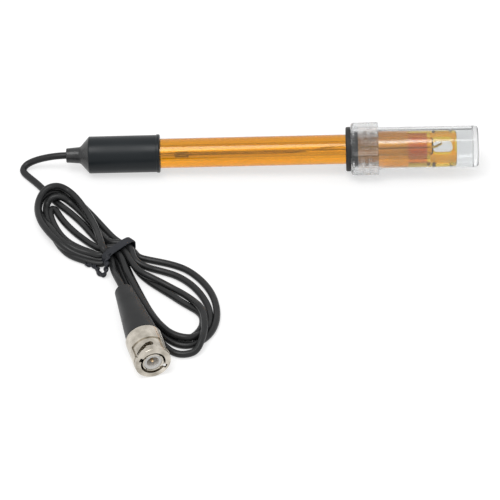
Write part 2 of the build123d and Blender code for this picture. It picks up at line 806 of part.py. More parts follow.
ribbon = tie_block(
    tie_inner_width + 2 * tie_thickness,
    tie_inner_height + 2 * tie_thickness,
    tie_corner_radius + tie_thickness,
    tie_width,
)
ribbon -= tie_block(tie_inner_width, tie_inner_height, tie_corner_radius, tie_width)
tie_tail_points = [
    (-63.3, -58.0, 6.7),
    (-64.8, -61.4, 6.6),
    (-66.2, -64.2, 4.8),
    (-66.6, -66.3, 2.6),
    (-67.4, -67.8, 1.3),
    (-69.2, -67.8, 1.0),
    (-70.4, -66.0, 0.95),
    (-70.8, -63.8, 0.9),
    (-72.2, -61.8, 0.9),
    (-74.8, -60.2, 0.9),
]
tie_tail, tie_tail_path, tie_tail_radii = tube_along(tie_tail_points, tie_tail_diameter)
twist_tie = ribbon + tie_tail
cable_hank -= tie_block(waist_cut, waist_cut, tie_corner_radius, tie_width + 2 * face_gap)
cable_hank += tie_block(
    tie_inner_width - 2 * face_gap,
    tie_inner_height - 2 * face_gap,
    tie_corner_radius,
    tie_width + 4 * face_gap,
)
cable_hank -= tube_along(tie_tail_points, tie_tail_diameter + 2 * face_gap)[0]
cable_hank -= cable_exit
cable_hank -= cable_tail

probe_pieces = {
    "body_tube": body_tube,
    "tip_guard": tip_guard,
    "glass_stem": glass_stem,
    "platinum_wire": platinum_wire,
    "sensor_lead": sensor_lead,
    "reference_wire": reference_wire,
    "reference_sleeve": reference_sleeve,
    "reference_junction": reference_junction,
    "electrolyte_gel": electrolyte_gel,
    "top_plug": top_plug,
    "handle_cap": handle_cap,
    "strain_relief": strain_relief,
    "core_tail": core_tail,
    "screen_tail": screen_tail,
    "core_splice": core_splice,
    "screen_splice": screen_splice,
    "seal_ring": seal_ring,
    "screw_cap": screw_cap,
    "storage_bottle": storage_bottle,
}
plug_pieces = {
    "coupling_nut": coupling_nut,
    "connector_body": connector_body,
    "gasket": gasket,
    "spring_washer": spring_washer,
    "retaining_ring": retaining_ring,
    "insulator": insulator,
    "centre_pin": centre_pin,
    "plug_core": plug_core,
    "crimp_ferrule": crimp_ferrule,
    "connector_boot": connector_boot,
}
placed_pieces = {
    "cable_exit": cable_exit,
    "cable_hank": cable_hank,
    "cable_tail": cable_tail,
    "twist_tie": twist_tie,
}
for name, piece in probe_pieces.items():
    placed_pieces[name] = probe_place * piece
for name, piece in plug_pieces.items():
    placed_pieces[name] = plug_place * piece
for name, piece in placed_pieces.items():
    export_step(piece, f"parts/{name}.step")

print("rest tilt in degrees", math.degrees(rest_tilt), "height of the axis at distance 0", axis_height)
print("middle of the probe", middle, "bottle end", bottle_end, "relief end", relief_end)
print("radii of the tie's tail", [round(radius, 2) for radius in tie_tail_radii])
for name, piece, path, radii in (
    ("cable_exit", cable_exit, exit_path, exit_radii),
    ("cable_tail", cable_tail, tail_path, tail_radii),
):
    expected = math.pi * cable_diameter ** 2 / 4 * path.length
    print(name, "radii", [round(radius, 2) for radius in radii], "length", round(path.length, 2))
    print(name, "volume", round(piece.volume, 3), "section times length", round(expected, 3))
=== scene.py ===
# %% [markdown]
# # A laboratory redox probe, dressed around its CAD model
#
# The object is an amber plastic tube with a blue-black handle, a clear storage bottle
# screwed over its tip, and a thin grey-black cable that is folded into a bundle and ends
# in a bayonet plug. The CAD model already has every rigid piece at its real size, so this
# script adds what a CAD model leaves out: the real run of the cable, the twisted tie, the
# gel and the storage liquid, and the finish of every surface.
# It starts by loading the model as a fixed frame.

# %% Load the model
import json
import math
import bmesh
import bpy
import numpy as np
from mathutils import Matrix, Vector


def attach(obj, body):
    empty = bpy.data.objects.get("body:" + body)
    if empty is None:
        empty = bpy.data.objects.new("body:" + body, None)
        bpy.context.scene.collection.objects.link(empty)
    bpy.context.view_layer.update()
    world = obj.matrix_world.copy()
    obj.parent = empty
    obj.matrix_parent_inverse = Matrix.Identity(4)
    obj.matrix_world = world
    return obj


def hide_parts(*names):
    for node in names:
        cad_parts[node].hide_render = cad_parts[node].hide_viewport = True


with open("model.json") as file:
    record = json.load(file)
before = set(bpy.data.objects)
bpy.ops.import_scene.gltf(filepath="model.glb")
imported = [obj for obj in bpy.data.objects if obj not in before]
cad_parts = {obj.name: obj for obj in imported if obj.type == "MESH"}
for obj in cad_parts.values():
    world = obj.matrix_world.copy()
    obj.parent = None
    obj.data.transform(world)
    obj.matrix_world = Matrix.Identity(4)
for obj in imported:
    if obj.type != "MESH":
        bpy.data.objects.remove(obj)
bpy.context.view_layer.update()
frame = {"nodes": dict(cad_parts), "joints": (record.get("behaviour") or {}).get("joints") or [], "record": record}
nodes = frame["nodes"]
record = frame["record"]
mm = 0.001
print("pieces in the model:", len(nodes))

# %% [markdown]
# The probe leans a little on its bottle, so its own axis isn't level. The record states
# that axis twice: the direction is the one along which the bottle pulls off, and the bare
# stretch of shaft between handle and seal gives a point on it. From these, any place in
# the probe is a distance along the axis from the front of the handle, a radius, and an
# angle round the axis from the top.

# %% Find the probe's own axis
joints = {joint["name"]: joint for joint in frame["joints"]}
mounts = {mount["name"]: mount for mount in record["mounts"]}
probe_axis = np.array(joints["storage_pull"]["axis"], float)
probe_up = np.cross(probe_axis, (0.0, 1.0, 0.0))
probe_side = np.array((0.0, 1.0, 0.0))
bare_shaft = mounts["shaft_grip"]["dims"]["length_mm"] * mm
handle_front = np.array(mounts["shaft_grip"]["pos_m"], float) - probe_axis * bare_shaft / 2
probe_tilt = math.asin(probe_axis[2])


def on_probe(distance, radius, angle):
    """Points at a distance along the axis, a radius from it and an angle from its top.

    The point is the handle's front, plus the distance times the axis, plus the radius
    times the up direction turned by the angle towards the side direction.
    """
    distance, radius, angle = np.broadcast_arrays(distance, radius, angle)
    outward = np.cos(angle)[..., None] * probe_up + np.sin(angle)[..., None] * probe_side
    return handle_front + distance[..., None] * probe_axis + radius[..., None] * outward


print("tilt of the probe in degrees:", round(math.degrees(probe_tilt), 2))

# %% [markdown]
# ## Camera, floor and light
#
# The photograph looks down at about 41 degrees from the long side, from far away with a
# long lens, so parallel edges stay nearly parallel. The camera here stands where the
# sizes of the near plug and the far probe both agree with the photograph.
# Light crosses up to twenty skins of plastic, liquid, gel and glass on its way through
# the bottle, so it may bend more often than usual before it is given up.

# %% Place the camera
camera_place = (-9.05 * mm, -1233.2 * mm, 1028.5 * mm)
camera_elevation = 41
camera_lens = 284.44
sensor_width = 36
near_limit = 0.05
glass_depth = 40

camera_data = bpy.data.cameras.new("camera")
camera_data.lens = camera_lens
camera_data.sensor_width = sensor_width
camera_data.clip_start = near_limit
camera = bpy.data.objects.new("camera", camera_data)
camera.location = camera_place
camera.rotation_euler = (math.radians(90 - camera_elevation), 0, 0)
bpy.context.scene.collection.objects.link(camera)
bpy.context.scene.camera = camera
bpy.context.scene.view_settings.view_transform = "Standard"
bpy.context.scene.cycles.max_bounces = glass_depth
bpy.context.scene.cycles.transmission_bounces = glass_depth
print("camera at", camera_place)

# %% [markdown]
# Every surface made here is a grid of points: one direction of the grid is the first
# parameter of its formula and the other is the second. One helper turns such a grid into
# a mesh. A direction that goes all the way round is joined to itself, and an open end is
# closed by a fan round its own centre, so each piece is a closed skin.

# %% Turn grids of points into meshes
def grid_mesh(name, grid, round_rows=False, round_columns=True, caps=True, smooth=True):
    """A mesh from a grid of points, rows by columns.

    Each cell between neighbouring rows and columns becomes one four-sided face. Rows or
    columns that go round have their last joined to their first. With caps, the first and
    last rows of an open grid are closed by triangles to the mean of the row's points.
    A closed skin has its faces turned outward, because glass bends light by them.
    """
    rows, columns = grid.shape[:2]
    index = np.arange(rows * columns).reshape(rows, columns)
    wide = np.concatenate([index, index[:, :1]], 1) if round_columns else index
    full = np.concatenate([wide, wide[:1]], 0) if round_rows else wide
    corners = (full[:-1, :-1], full[:-1, 1:], full[1:, 1:], full[1:, :-1])
    faces = np.stack([corner.ravel() for corner in corners], 1).tolist()
    points = grid.reshape(-1, 3)
    if caps and not round_rows:
        centres = np.stack([grid[0].mean(0), grid[-1].mean(0)])
        first, last = len(points), len(points) + 1
        points = np.concatenate([points, centres])
        start = np.stack([np.full(columns, first), wide[0, 1:], wide[0, :-1]], 1)
        end = np.stack([np.full(columns, last), wide[-1, :-1], wide[-1, 1:]], 1)
        faces += start.tolist() + end.tolist()
    mesh = bpy.data.meshes.new(name)
    mesh.from_pydata(points.tolist(), [], faces)
    mesh.validate()
    if caps or round_rows:
        solid = bmesh.new()
        solid.from_mesh(mesh)
        bmesh.ops.recalc_face_normals(solid, faces=solid.faces)
        solid.to_mesh(mesh)
        solid.free()
    mesh.polygons.foreach_set("use_smooth", np.full(len(mesh.polygons), smooth))
    piece = bpy.data.objects.new(name, mesh)
    bpy.context.scene.collection.objects.link(piece)
    return piece


def turned(name, outline, steps=96):
    """A ring about the probe's axis: a closed outline of (distance, radius) points.

    Each point of the outline is carried round the axis in equal angles.
    """
    outline = np.array(outline, float)
    angle = np.linspace(0, 2 * np.pi, steps, endpoint=False)
    grid = on_probe(outline[:, :1], outline[:, 1:], angle[None, :])
    return grid_mesh(name, grid, round_rows=True, smooth=False)


print("grid helper ready")

# %% [markdown]
# The photograph has a white background with no shadow. The floor is a plain matt
# white sheet that glows a little for the camera, so it reads as white where nothing
# shades it and keeps a soft shadow where something does.

# %% Lay the floor
floor_half = 3.0
floor_white = 0.5
floor_glow = 0.6
floor_roughness = 0.9


def seen_directly(tree):
    """One for rays from the camera, off gloss and through glass, and nought for the rest."""
    path = tree.nodes.new("ShaderNodeLightPath")
    gloss = tree.nodes.new("ShaderNodeMath")
    gloss.operation = "MAXIMUM"
    tree.links.new(path.outputs["Is Camera Ray"], gloss.inputs[0])
    tree.links.new(path.outputs["Is Glossy Ray"], gloss.inputs[1])
    glass = tree.nodes.new("ShaderNodeMath")
    glass.operation = "MAXIMUM"
    tree.links.new(gloss.outputs[0], glass.inputs[0])
    tree.links.new(path.outputs["Is Transmission Ray"], glass.inputs[1])
    return glass.outputs[0]


def floor_material():
    """Matt white, plus a glow that only the camera, gloss and glass see."""
    material = bpy.data.materials.new("white_floor")
    material.use_nodes = True
    tree = material.node_tree
    shader = tree.nodes["Principled BSDF"]
    shader.inputs["Base Color"].default_value = (floor_white, floor_white, floor_white, 1)
    shader.inputs["Roughness"].default_value = floor_roughness
    shader.inputs["Specular IOR Level"].default_value = 0.0
    shader.inputs["Emission Color"].default_value = (1, 1, 1, 1)
    strength = tree.nodes.new("ShaderNodeMath")
    strength.operation = "MULTIPLY"
    strength.inputs[1].default_value = floor_glow
    tree.links.new(seen_directly(tree), strength.inputs[0])
    tree.links.new(strength.outputs[0], shader.inputs["Emission Strength"])
    return material


edge = np.linspace(-floor_half, floor_half, 3)
floor_grid = np.stack(np.meshgrid(edge, edge, [0.0], indexing="ij"), -1)[:, :, 0]
floor = grid_mesh("floor", floor_grid, round_columns=False, caps=False)
floor.data.flip_normals()
floor.data.materials.append(floor_material())
print("floor", 2 * floor_half, "m wide")

# %% [markdown]
# The light is a large soft box overhead, a little to the left and in front, and a white
# sky that fills the shadows. The sky has a strength of 1 where the camera, gloss or glass
# sees it, and less where it lights matt surfaces, because the soft box adds the rest.

# %% Set the light
sky_fill = 0.66
box_power = 7.0
box_size = 0.7
box_place = Vector((-0.25, -0.35, 1.25))

world = bpy.data.worlds.new("white_sky")
bpy.context.scene.world = world
world.use_nodes = True
sky = world.node_tree.nodes["Background"]
sky.inputs["Color"].default_value = (1, 1, 1, 1)
level = world.node_tree.nodes.new("ShaderNodeMapRange")
level.inputs["To Min"].default_value = sky_fill
level.inputs["To Max"].default_value = 1.0
world.node_tree.links.new(seen_directly(world.node_tree), level.inputs["Value"])
world.node_tree.links.new(level.outputs["Result"], sky.inputs["Strength"])

box_data = bpy.data.lights.new("soft_box", "AREA")
box_data.energy = box_power
box_data.size = box_size
soft_box = bpy.data.objects.new("soft_box", box_data)
soft_box.location = box_place
soft_box.rotation_euler = (-box_place).to_track_quat("-Z", "Y").to_euler()
bpy.context.scene.collection.objects.link(soft_box)
print("soft box", box_power, "W")

# %% [markdown]
# ## The cable
#
# The cable is a thin coaxial cable, one metre long. It leaves the strain relief, drops
# over the end of the probe and turns back into a bundle: a figure of eight with four
# loops on each side of a tie, as a packer winds it round two fingers. Its last run goes
# through the tie to the plug.
# A cable could be a swept mesh, but one smooth spline with a round bevel keeps its real
# length and never folds. Its control points are the route: the two free ends are those
# of the CAD model, and each half turn of the bundle is a short list of places that were
# chosen over the photograph. The runs through the tie are worked out, because
# all nine strands lie there side by side in two layers.
# The cable's radius is set on the points and the bevel is left at one, because the box
# that Blender gives for a curve grows by the radius of its points.

# %% The route of the cable
cable_diameter = 2.8 * mm

exit_run = [
    (-75.957, 0, 7.435), (-80.955, 0.03, 7.288), (-86.153, 0, 7.135),
    (-90.6, 0.3, 6.15), (-95.2, 0.55, 4.65), (-99.1, 0.6, 2.6),
    (-100.92, -1.12, 1.7), (-101.07, -3.61, 1.42), (-98.1, -7.3, 1.42),
    (-95.0, -10.9, 1.44), (-92.2, -14.8, 1.42),
]
run_to_tie = [
    (-87.0, -22.5, 1.42), (-83.2, -26.6, 1.42), (-79.3, -31.2, 1.42),
    (-75.7, -36.1, 1.42), (-72.4, -41.6, 1.42), (-69.4, -46.2, 1.42), (-66.7, -50.3, 1.7),
]
tail_run = [
    (-63.4, -61.2, 3.6), (-62.8, -66.2, 4.0), (-61.3, -73.3, 6.5),
    (-59.526, -78.268, 7.2), (-56.486, -88.424, 7.2), (-53.761, -97.733, 7.2),
]
right_loops = [
    [(-53.5, -64.5, 1.42), (-49.1, -70.2, 1.42), (-43.9, -75.1, 1.42), (-39.5, -79.0, 1.42),
     (-35.6, -82.8, 1.42), (-32.0, -85.8, 1.42), (-29.1, -88.3, 1.42), (-27.5, -91.3, 1.42),
     (-27.3, -95.4, 1.42), (-28.4, -99.2, 1.42), (-30.5, -102.3, 1.42), (-33.4, -104.5, 1.42),
     (-36.7, -103.5, 1.42), (-39.6, -102.0, 1.42), (-43.4, -96.9, 1.42), (-47.6, -89.4, 1.42),
     (-50.6, -82.0, 1.42), (-53.6, -74.0, 1.42), (-56.2, -67.0, 1.42)],
    [(-54.7, -64.8, 4.3), (-51.4, -68.8, 4.3), (-47.9, -70.9, 3.9), (-44.0, -72.3, 2.6),
     (-39.6, -74.7, 1.6), (-35.7, -77.7, 1.6), (-32.1, -82.4, 2.8), (-29.5, -86.9, 4.25),
     (-27.7, -90.1, 4.25), (-26.8, -93.9, 4.25), (-26.6, -98.0, 4.25), (-26.6, -102.0, 4.25),
     (-27.4, -106.4, 4.1), (-29.6, -111.8, 1.8), (-34.6, -113.2, 1.42), (-38.6, -112.0, 1.42),
     (-41.9, -108.4, 1.42), (-45.6, -103.2, 1.42), (-49.4, -98.0, 1.42), (-53.0, -90.4, 1.42),
     (-56.2, -81.8, 1.42), (-58.8, -74.0, 1.42), (-61.2, -67.0, 1.42)],
    [(-54.8, -61.1, 4.2), (-50.0, -63.4, 2.6), (-46.1, -63.7, 1.5), (-42.5, -65.0, 1.42),
     (-38.5, -66.8, 1.42), (-34.6, -69.8, 1.42), (-31.0, -73.8, 1.42), (-27.8, -79.0, 1.42),
     (-25.4, -84.9, 1.42), (-24.5, -90.8, 1.42), (-25.0, -96.5, 1.42), (-27.0, -100.4, 1.5),
     (-29.5, -104.1, 2.9), (-33.3, -106.4, 3.9), (-39.6, -104.0, 3.9), (-44.6, -97.6, 3.9),
     (-49.0, -89.8, 3.9), (-52.2, -82.0, 3.9), (-55.0, -74.2, 3.9), (-57.6, -67.4, 3.9)],
    [(-53.3, -57.1, 2.2), (-48.6, -57.9, 1.5), (-43.4, -59.3, 1.42), (-38.6, -61.0, 1.42),
     (-33.9, -63.6, 1.42), (-29.5, -68.1, 1.42), (-25.7, -73.8, 1.42), (-23.0, -80.5, 1.42),
     (-21.8, -87.8, 1.42), (-22.2, -95.4, 1.42), (-24.7, -101.9, 1.42), (-29.7, -107.1, 1.42),
     (-34.7, -108.3, 1.42), (-40.0, -105.6, 1.42), (-45.6, -98.2, 1.42), (-50.3, -90.2, 1.42),
     (-53.6, -82.2, 1.42), (-56.4, -74.6, 1.42), (-58.9, -67.0, 1.42)],
]
left_loops = [
    [(-68.8, -55.8, 1.7), (-72.4, -53.0, 1.42), (-76.5, -50.8, 1.42), (-80.5, -47.9, 1.42),
     (-83.8, -43.9, 1.42), (-86.2, -39.2, 1.42), (-88.0, -34.3, 1.42), (-89.2, -29.7, 1.42),
     (-88.7, -26.3, 1.42), (-87.0, -27.1, 1.42), (-85.1, -31.5, 1.42), (-82.5, -36.1, 1.42),
     (-78.8, -41.2, 1.42), (-74.6, -45.9, 1.42), (-71.3, -49.4, 1.6), (-68.0, -53.4, 3.2)],
    [(-66.7, -60.4, 1.6), (-71.0, -59.6, 1.42), (-75.8, -57.5, 1.42), (-80.3, -55.0, 1.42),
     (-83.4, -51.3, 1.42), (-85.9, -46.5, 1.42), (-88.1, -40.7, 1.42), (-89.8, -34.6, 1.42),
     (-90.8, -29.0, 1.42), (-90.8, -24.2, 1.5), (-89.3, -22.8, 3.6), (-86.9, -22.1, 4.3),
     (-84.1, -22.2, 3.8), (-81.0, -23.2, 1.7), (-77.0, -28.1, 1.42), (-73.0, -34.6, 1.42),
     (-68.7, -42.8, 2.4), (-64.9, -50.7, 4.3)],
    [(-67.9, -58.0, 3.6), (-72.3, -55.6, 3.0), (-77.1, -54.2, 3.4), (-81.3, -51.8, 4.25),
     (-85.0, -47.8, 4.25), (-88.2, -41.3, 4.25), (-91.4, -34.3, 1.8), (-93.9, -28.4, 1.42),
     (-93.7, -23.3, 1.5), (-92.0, -20.6, 3.0), (-89.4, -19.5, 4.25), (-86.7, -18.3, 3.6),
     (-83.8, -17.7, 1.8), (-80.5, -19.6, 1.42), (-76.3, -24.7, 1.42), (-71.7, -31.5, 1.42),
     (-66.9, -39.2, 1.42), (-62.9, -45.5, 1.6)],
    [(-67.1, -58.6, 1.7), (-71.5, -57.1, 1.6), (-76.3, -55.6, 2.0), (-81.0, -53.9, 3.4),
     (-85.6, -49.7, 4.6), (-89.7, -43.2, 4.4), (-92.5, -37.6, 4.3), (-94.1, -31.2, 4.3),
     (-93.8, -24.7, 4.8), (-91.5, -20.7, 6.4), (-88.5, -19.3, 7.2), (-85.4, -18.3, 6.4),
     (-82.2, -18.8, 4.6), (-79.1, -22.5, 4.3), (-75.9, -28.4, 4.3), (-72.5, -35.8, 4.3),
     (-70.0, -43.6, 5.2), (-68.2, -52.0, 6.7), (-66.9, -57.3, 6.6)],
]

tie_centre = np.array((-60.9, -55.5))
tie_turn = math.radians(46)
tie_across = np.array((math.cos(tie_turn), math.sin(tie_turn)))
tie_along = np.array((math.sin(tie_turn), -math.cos(tie_turn)))
strand_places = [
    (2.9, 2.05), (0.0, 2.05), (1.45, 4.5), (-5.8, 2.05), (4.35, 4.5),
    (-1.45, 4.5), (5.8, 2.05), (-2.9, 2.05), (-4.35, 4.5),
]
half_pass = 2.4
half_last_pass = 2.0
steps_between_points = 6
bevel_steps = 4


def through_tie(strand, half):
    """Two points of one strand inside the tie, half a length before and behind its centre.

    Strands with an even number run from left to right and the others come back.
    """
    across, height = strand_places[strand]
    way = 1 if strand % 2 == 0 else -1
    centre = tie_centre + across * tie_across
    ends = [centre - way * half * tie_along, centre + way * half * tie_along]
    return [(*end, height) for end in ends]


route = exit_run + run_to_tie
for turn, (right, left) in enumerate(zip(right_loops, left_loops)):
    route += through_tie(2 * turn, half_pass) + right
    route += through_tie(2 * turn + 1, half_pass) + left
route += through_tie(2 * len(right_loops), half_last_pass)[:1] + tail_run
route = np.array(route, float) * mm

cable_curve = bpy.data.curves.new("cable", "CURVE")
cable_curve.dimensions = "3D"
spline = cable_curve.splines.new("NURBS")
spline.points.add(len(route) - 1)
spline.points.foreach_set("co", np.c_[route, np.ones(len(route))].ravel())
spline.points.foreach_set("radius", np.full(len(route), cable_diameter / 2))
spline.order_u = 3
spline.use_endpoint_u = True
spline.use_smooth = True
cable_curve.resolution_u = steps_between_points
cable_curve.bevel_depth = 1.0
cable_curve.bevel_resolution = bevel_steps
cable_curve.use_fill_caps = True
cable = bpy.data.objects.new("cable", cable_curve)
bpy.context.scene.collection.objects.link(cable)
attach(cable, "probe")
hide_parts("cable_exit", "cable_hank", "cable_tail")
print("points on the route:", len(route))

# %% [markdown]
# ## The twist tie
#
# The bundle is held by a flat plastic ribbon with a wire in it, the kind that closes
# bread bags. It goes once round the waist of the bundle, and its ends are twisted
# together: they show as a little rope of beads that curls over the floor.
# A bent strip with a thickness would do for the ribbon, but not for the twisted end, so
# both are made in one way: as an outline carried along a path. Round the waist the path
# is a rounded box and the outline keeps its width along the bundle. On the twisted end
# the outline turns as it goes, and the turning is what makes the beads.

# %% Carry an outline along a path
def smooth_path(places, count):
    """Evenly numbered points on a curve through the given places.

    Between two places the curve is the cubic whose end directions are half of the step
    from the place before to the place after.
    """
    places = np.array(places, float)
    ends = (2 * places[:1] - places[1:2], places, 2 * places[-1:] - places[-2:-1])
    padded = np.concatenate(ends)
    step = np.linspace(0, len(places) - 1, count)
    first = np.minimum(step.astype(int), len(places) - 2)
    part = (step - first)[:, None]
    before, start, end, after = (padded[first + shift] for shift in range(4))
    leave, arrive = (end - before) / 2, (after - start) / 2
    rise = 3 * (end - start) - 2 * leave - arrive
    bend = 2 * (start - end) + leave + arrive
    return start + part * (leave + part * (rise + part * bend))


def carried(name, path, outline, side, twist, closed=False):
    """An outline of (across, up) points carried along a path.

    At each place on the path, the side direction is made square to the path's own
    direction, the third direction is square to both, and the outline is turned in the
    plane of the two by the twist at that place.
    """
    if closed:
        ahead = np.roll(path, -1, 0) - np.roll(path, 1, 0)
    else:
        ahead = np.gradient(path, axis=0)
    ahead /= np.linalg.norm(ahead, axis=1, keepdims=True)
    side = side - (side * ahead).sum(1, keepdims=True) * ahead
    side /= np.linalg.norm(side, axis=1, keepdims=True)
    up = np.cross(ahead, side)
    turn = np.broadcast_to(twist, len(path))[:, None, None]
    across, rise = outline[None, :, :1], outline[None, :, 1:]
    first = np.cos(turn) * across - np.sin(turn) * rise
    second = np.sin(turn) * across + np.cos(turn) * rise
    grid = path[:, None] + first * side[:, None] + second * up[:, None]
    return grid_mesh(name, grid, round_rows=closed)


def soft_box(count, corner):
    """A box from -1 to 1 with soft corners: the cosine and sine of an angle, each with its
    size raised to two over the corner value and its sign kept.
    """
    angle = np.linspace(0, 2 * np.pi, count, endpoint=False)
    wide = np.sign(np.cos(angle)) * np.abs(np.cos(angle)) ** (2 / corner)
    high = np.sign(np.sin(angle)) * np.abs(np.sin(angle)) ** (2 / corner)
    return wide, high


def ribbon_outline(width, thickness, corner, count=28):
    """The soft box at the width and thickness of a ribbon."""
    wide, high = soft_box(count, corner)
    return np.stack([wide * width / 2, high * thickness / 2], 1)


print("outline helper ready")

# %% Make the tie
ribbon_width = 3.4 * mm
ribbon_thickness = 0.6 * mm
waist_width = 14.6 * mm
waist_height = 5.9 * mm
waist_corner = 4.0
waist_steps = 120
ribbon_corner = 5.0
bead_pitch = 5.0 * mm
twisted_width = 2.1 * mm
twisted_thickness = 1.1 * mm
twisted_corner = 3.0
twisted_steps = 160
twisted_side = (0.94, -0.34, 0.0)
twisted_places = [
    (-64.6, -59.6, 6.3), (-64.9, -61.6, 6.6), (-65.4, -63.5, 5.6), (-65.6, -65.2, 4.0),
    (-66.0, -66.4, 2.4), (-67.0, -66.6, 1.3), (-68.4, -65.3, 1.15), (-69.1, -62.9, 1.15),
    (-70.6, -61.0, 1.15), (-72.6, -60.2, 1.15), (-74.2, -59.8, 1.15),
]


def waist_ribbon():
    """The ribbon round the waist: a rounded box in the upright plane across the bundle."""
    wide, high = soft_box(waist_steps, waist_corner)
    reach = (waist_width + ribbon_thickness) / 2
    rise = (waist_height + ribbon_thickness) / 2
    plan = tie_centre * mm + wide[:, None] * reach * tie_across
    height = ribbon_thickness / 2 + rise * (1 + high)
    path = np.c_[plan, height]
    side = np.array([(*tie_along, 0.0)])
    outline = ribbon_outline(ribbon_width, ribbon_thickness, ribbon_corner)
    return carried("tie_ribbon", path, outline, side, 0.0, closed=True)


def twisted_end():
    """The twisted end: a flat outline that turns once for every pitch of its length."""
    path = smooth_path(twisted_places, twisted_steps) * mm
    steps = np.linalg.norm(np.diff(path, axis=0), axis=1)
    travelled = np.r_[0, np.cumsum(steps)]
    twist = 2 * np.pi * travelled / bead_pitch
    outline = ribbon_outline(twisted_width, twisted_thickness, twisted_corner)
    side = np.array([twisted_side])
    return carried("tie_twisted_end", path, outline, side, twist)


tie_pieces = [waist_ribbon(), twisted_end()]
for piece in tie_pieces:
    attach(piece, "probe")
    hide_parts("twist_tie")
print("tie pieces:", [piece.name for piece in tie_pieces])

relief_tip = -38.0 * mm
cable_exit = tuple(float(value) for value in on_probe(relief_tip, 0.0, 0.0))
print("cable leaves the relief at", [round(value, 4) for value in cable_exit])

# %% [markdown]
# ## Gel and storage liquid
#
# The tube is full of a clear gel, and the bottle is nearly full of a clear liquid that
# keeps the tip wet. Neither has a colour of its own, but both matter to the look: light
# bends much less between plastic and water than between plastic and air, so a filled
# tube looks solid and its inner walls vanish. For that the filling overlaps the walls by
# a few hundredths of a millimetre, so that no film of air is left between them.
# The gel is a plain ring about the probe's axis. The liquid is the inside of the bottle
# cut off by a level surface, with a little air left on top.

# %% Fill the tube and the bottle
wall_overlap = 0.03 * mm
gel_start = -4.96 * mm
gel_end = 100.36 * mm
gel_inner_radius = 2.5 * mm - wall_overlap
gel_outer_radius = 4.9 * mm + wall_overlap

liquid_start = 80.3 * mm
liquid_end = 126.7 * mm
liquid_neck_radius = 7.6 * mm + wall_overlap
liquid_base_radius = 7.4 * mm + wall_overlap
liquid_height = 18.0 * mm
liquid_rows = 60
liquid_columns = 144


def storage_liquid():
    """The inside of the bottle below a level surface.

    A circle is carried along the axis, its radius shrinking evenly towards the base, and
    every point above the surface is brought down to it.
    """
    part = np.linspace(0, 1, liquid_rows)[:, None]
    distance = liquid_start + part * (liquid_end - liquid_start)
    radius = liquid_neck_radius + part * (liquid_base_radius - liquid_neck_radius)
    angle = np.linspace(0, 2 * np.pi, liquid_columns, endpoint=False)[None, :]
    grid = on_probe(distance, radius, angle)
    grid[..., 2] = np.minimum(grid[..., 2], liquid_height)
    return grid_mesh("storage_liquid", grid)


gel_outline = [
    (gel_start, gel_inner_radius), (gel_end, gel_inner_radius),
    (gel_end, gel_outer_radius), (gel_start, gel_outer_radius),
]
gel = turned("gel_filling", gel_outline)
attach(gel, "probe")
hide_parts("electrolyte_gel")
liquid = storage_liquid()
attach(liquid, "bottle")
print("liquid stands", round(liquid_height / mm, 1), "mm above the floor")

# %% [markdown]
# ## Finishes
#
# Every finish is built from nodes that read the piece's own coordinates in metres, so a
# grain has its real size on every piece. Two effects come up again and again and are
# made once, as groups. The first is a cloudy change between two colours, which keeps a
# moulded part from looking painted; on the plug's nickel it paints dark and bright
# reflections. The second is the fine unevenness of a surface: it gives a height for the
# bump and a roughness that varies a little from place to place.

# %% Shared effects
noise_low = 0.3
noise_high = 0.7
mix_first, mix_second, mix_result = 6, 7, 2


def group(name, inputs, outputs):
    """An empty shader node group with the named sockets, and its two end nodes."""
    tree = bpy.data.node_groups.new(name, "ShaderNodeTree")
    for label, kind, value in inputs:
        socket = tree.interface.new_socket(name=label, in_out="INPUT", socket_type=kind)
        if value is not None:
            socket.default_value = value
    for label, kind in outputs:
        tree.interface.new_socket(name=label, in_out="OUTPUT", socket_type=kind)
    return tree, tree.nodes.new("NodeGroupInput"), tree.nodes.new("NodeGroupOutput")


def cloudy_group():
    """Noise of a given scale that goes from a first colour to a second one.

    The mix node has sockets for numbers and vectors too, so its colour sockets are named
    by their place in its lists.
    """
    inputs = [
        ("Vector", "NodeSocketVector", None), ("Scale", "NodeSocketFloat", 100.0),
        ("First", "NodeSocketColor", (0, 0, 0, 1)), ("Second", "NodeSocketColor", (1, 1, 1, 1)),
    ]
    tree, start, end = group("cloudy colour", inputs, [("Color", "NodeSocketColor")])
    noise = tree.nodes.new("ShaderNodeTexNoise")
    noise.inputs["Detail"].default_value = 4
    spread = tree.nodes.new("ShaderNodeMapRange")
    spread.inputs["From Min"].default_value = noise_low
    spread.inputs["From Max"].default_value = noise_high
    mix = tree.nodes.new("ShaderNodeMix")
    mix.data_type = "RGBA"
    tree.links.new(start.outputs["Vector"], noise.inputs["Vector"])
    tree.links.new(start.outputs["Scale"], noise.inputs["Scale"])
    tree.links.new(noise.outputs["Fac"], spread.inputs["Value"])
    tree.links.new(spread.outputs["Result"], mix.inputs["Factor"])
    tree.links.new(start.outputs["First"], mix.inputs[mix_first])
    tree.links.new(start.outputs["Second"], mix.inputs[mix_second])
    tree.links.new(mix.outputs[mix_result], end.inputs["Color"])
    return tree


